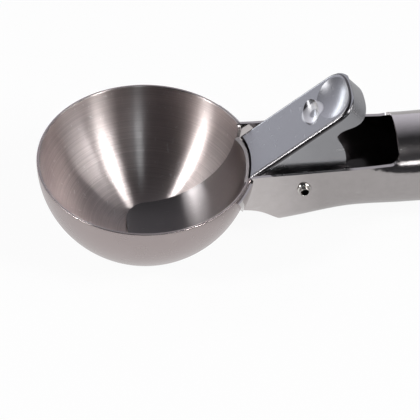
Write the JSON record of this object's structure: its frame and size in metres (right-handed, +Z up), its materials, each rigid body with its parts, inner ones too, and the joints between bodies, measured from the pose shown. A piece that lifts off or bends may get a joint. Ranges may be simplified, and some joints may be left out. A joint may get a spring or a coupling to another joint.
{
  "type": "lever ice cream scoop",
  "caption": "Stainless steel ice cream scoop: hemispherical bowl, tubular handle, and a sprung thumb lever that sweeps a scraper blade through the bowl.",
  "frame": {"origin": "middle of the footprint's box on the table, with the scoop lying on its bowl and its handle's rear end", "axes": "+X from the bowl along the handle, +Z up, +Y to the scoop's left as seen from the handle; the rim tips 4.05 degrees up at the bowl's front"},
  "size_m": [0.1908, 0.058, 0.0455],
  "materials": {
    "bowl_steel": "brushed stainless steel, fine rings inside",
    "handle_steel": "polished stainless steel",
    "lever_steel": "satin stainless steel",
    "blade_steel": "polished stainless steel",
    "rivet_steel": "bright stainless steel",
    "spring_steel": "drawn spring wire",
    "washer_plastic": "dark nylon"
  },
  "bodies": {
    "handle": {"scoop_bowl": "bowl_steel", "handle_shell": "handle_steel", "end_cap": "handle_steel", "hang_eyelet": "rivet_steel", "pivot_rivet": "rivet_steel", "pivot_sleeve": "rivet_steel", "lever_washers": "washer_plastic", "return_spring": "spring_steel"},
    "lever": {"thumb_lever": "lever_steel", "scraper_blade": "blade_steel"}
  },
  "joints": [
    {"name": "lever_press", "type": "hinge", "parent": "handle", "child": "lever", "pos_m": [-0.02533, 0, 0.02077], "axis": [0, 1, 0], "range_deg": [0, 34], "stiffness_Nm_per_rad": 0.15, "springref_deg": -28.65, "deforming": ["return_spring"]}
  ]
}
